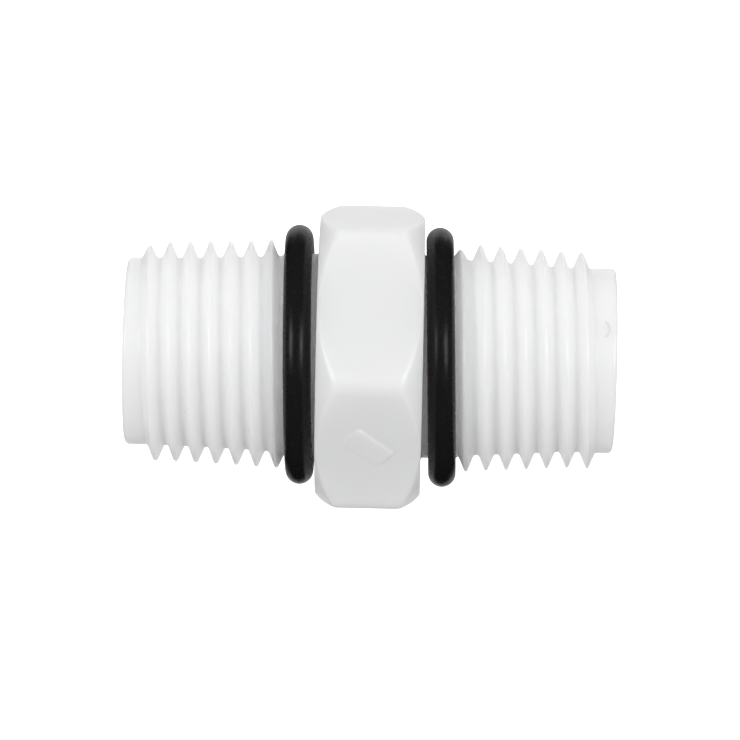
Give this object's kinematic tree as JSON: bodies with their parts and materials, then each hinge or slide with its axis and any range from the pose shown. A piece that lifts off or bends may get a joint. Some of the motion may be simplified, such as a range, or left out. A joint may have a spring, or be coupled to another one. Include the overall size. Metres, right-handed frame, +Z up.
{
  "type": "threaded pipe coupling",
  "caption": "Moulded plastic hexagon nipple with tapered external pipe threads and a rubber sealing ring on the neck at each side of the hexagon, joining fittings with internal threads.",
  "frame": {"origin": "middle of the hexagon, on the pipe axis", "axes": "+X along the pipe axis towards the right mouth, +Z up out of the hexagon flat opposite the one it rests on"},
  "size_m": [0.0438, 0.0286, 0.0252],
  "materials": {
    "white_plastic": "injection-moulded white polypropylene, soft gloss, slightly translucent at thin edges",
    "black_rubber": "black nitrile rubber, smooth with a soft sheen"
  },
  "bodies": {
    "nipple": {"nipple_body": "white_plastic"},
    "left_ring": {"left_o_ring": "black_rubber"},
    "right_ring": {"right_o_ring": "black_rubber"}
  },
  "joints": [
    {"name": "left_ring_slide", "type": "slide", "parent": "nipple", "child": "left_ring", "axis": [1, 0, 0], "range_m": [-0.0004, 0.00013]},
    {"name": "right_ring_slide", "type": "slide", "parent": "nipple", "child": "right_ring", "axis": [-1, 0, 0], "range_m": [-0.0005, 0.00005]}
  ]
}
